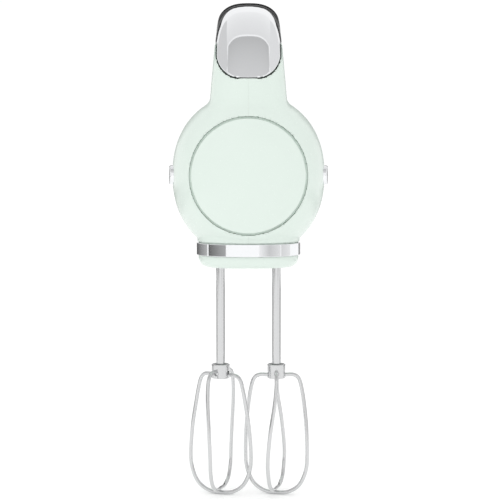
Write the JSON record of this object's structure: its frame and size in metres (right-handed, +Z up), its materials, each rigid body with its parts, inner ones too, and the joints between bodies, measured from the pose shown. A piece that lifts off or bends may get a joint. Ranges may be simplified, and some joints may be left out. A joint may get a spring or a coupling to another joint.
{
  "type": "hand mixer",
  "caption": "Rounded retro hand mixer with a looped handle, a chrome nose lever, a chrome band and two removable wire beaters.",
  "frame": {"origin": "bottom centre of the whole object: the lowest point of the beaters is at z = 0, half-way between the front cap and the heel", "axes": "+Z up along the beaters, +Y out of the heel, the front cap faces -Y, +X to the right seen from the front"},
  "size_m": [0.094, 0.21, 0.3],
  "materials": {
    "mint_plastic": "glossy moulded plastic",
    "chrome": "polished chrome plate",
    "black_gloss": "gloss black",
    "smoked_lens": "smoked, polished",
    "grey_plastic": "satin",
    "black_rubber": "matt",
    "circuit_board": "lacquered board",
    "nylon": "natural nylon",
    "core_steel": "stacked steel sheets",
    "copper": "enamelled copper wire",
    "brass": "machined",
    "steel": "machined",
    "beater_steel": "polished stainless steel"
  },
  "bodies": {
    "root": {"housing_left": "mint_plastic", "housing_right": "mint_plastic", "front_cap": "mint_plastic", "heel_cover": "mint_plastic", "heel_pad": "black_rubber", "cord_inlet": "black_rubber", "base_cover": "mint_plastic", "trim_band": "chrome", "side_trim_left": "chrome", "side_trim_right": "chrome", "control_panel": "black_gloss", "display_lens": "smoked_lens", "display_board": "circuit_board", "control_board": "circuit_board", "power_board": "circuit_board", "gearbox_frame": "nylon", "spindle_bush_left": "brass", "spindle_bush_right": "brass", "motor_field_core": "core_steel", "field_coil_left": "copper", "field_coil_right": "copper", "front_bearing": "steel", "rear_bearing": "steel", "brush_holder_left": "brass", "brush_holder_right": "brass", "motor_bracket_front": "grey_plastic", "motor_bracket_rear": "grey_plastic", "lever_pivot_pin": "steel", "base_screw_front": "steel", "base_screw_rear": "steel", "heel_screw_lower": "steel", "heel_screw_upper": "steel", "eject_spring": "steel"},
    "rotor": {"motor_shaft": "steel", "armature_core": "core_steel", "armature_winding": "copper", "commutator": "copper", "cooling_fan": "grey_plastic"},
    "eject_lever": {"eject_lever": "chrome"},
    "eject_yoke": {"eject_yoke": "nylon"},
    "speed_rocker": {"speed_rocker": "grey_plastic"},
    "turbo_button": {"turbo_button": "grey_plastic"},
    "power_button": {"power_button": "grey_plastic"},
    "spindle_left": {"spindle_left": "steel", "worm_gear_left": "nylon"},
    "plunger_left": {"ejector_plunger_left": "steel"},
    "beater_left": {"beater_shaft_left": "beater_steel", "beater_collar_left": "beater_steel", "beater_loop_lower_left": "beater_steel", "beater_loop_upper_left": "beater_steel"},
    "spindle_right": {"spindle_right": "steel", "worm_gear_right": "nylon"},
    "plunger_right": {"ejector_plunger_right": "steel"},
    "beater_right": {"beater_shaft_right": "beater_steel", "beater_collar_right": "beater_steel", "beater_loop_lower_right": "beater_steel", "beater_loop_upper_right": "beater_steel"}
  },
  "joints": [
    {"name": "motor_spin", "type": "hinge", "parent": "root", "child": "rotor", "pos_m": [0, -0.066, 0.19], "axis": [0, 1, 0], "continuous": true},
    {"name": "eject_press", "type": "hinge", "parent": "root", "child": "eject_lever", "pos_m": [0, -0.048, 0.286], "axis": [1, 0, 0], "range_deg": [0, 4.5], "stiffness_Nm_per_rad": 4, "springref_deg": -4.58},
    {"name": "eject_yoke_slide", "type": "slide", "parent": "root", "child": "eject_yoke", "axis": [0, 0, -1], "range_m": [0, 0.00442], "deforming": ["eject_spring"]},
    {"name": "speed_rock", "type": "hinge", "parent": "root", "child": "speed_rocker", "pos_m": [0, -0.017, 0.2955], "axis": [1, 0, 0], "range_deg": [-5, 5], "stiffness_Nm_per_rad": 0.05},
    {"name": "turbo_press", "type": "slide", "parent": "root", "child": "turbo_button", "axis": [0, 0, -1], "range_m": [0, 0.0012], "stiffness_N_per_m": 900, "springref_m": -0.001},
    {"name": "power_press", "type": "slide", "parent": "root", "child": "power_button", "axis": [0, 0, -1], "range_m": [0, 0.0012], "stiffness_N_per_m": 900, "springref_m": -0.001},
    {"name": "spindle_left_spin", "type": "hinge", "parent": "root", "child": "spindle_left", "pos_m": [-0.0168, -0.066, 0.18], "axis": [0, 0, 1], "continuous": true},
    {"name": "plunger_left_slide", "type": "slide", "parent": "spindle_left", "child": "plunger_left", "axis": [0, 0, -1], "range_m": [0, 0.00442]},
    {"name": "beater_left_pull", "type": "slide", "parent": "plunger_left", "child": "beater_left", "axis": [0, 0, -1], "range_m": [0, 0.0505]},
    {"name": "spindle_right_spin", "type": "hinge", "parent": "root", "child": "spindle_right", "pos_m": [0.0168, -0.066, 0.18], "axis": [0, 0, 1], "continuous": true},
    {"name": "plunger_right_slide", "type": "slide", "parent": "spindle_right", "child": "plunger_right", "axis": [0, 0, -1], "range_m": [0, 0.00442]},
    {"name": "beater_right_pull", "type": "slide", "parent": "plunger_right", "child": "beater_right", "axis": [0, 0, -1], "range_m": [0, 0.0505]}
  ],
  "couplings": [
    {"joint": "spindle_right_spin", "follows": "motor_spin", "ratio": 0.083333},
    {"joint": "spindle_left_spin", "follows": "motor_spin", "ratio": -0.083333},
    {"joint": "eject_yoke_slide", "follows": "eject_press", "m_per_rad": 0.055},
    {"joint": "plunger_left_slide", "follows": "eject_press", "m_per_rad": 0.055},
    {"joint": "plunger_right_slide", "follows": "eject_press", "m_per_rad": 0.055}
  ]
}
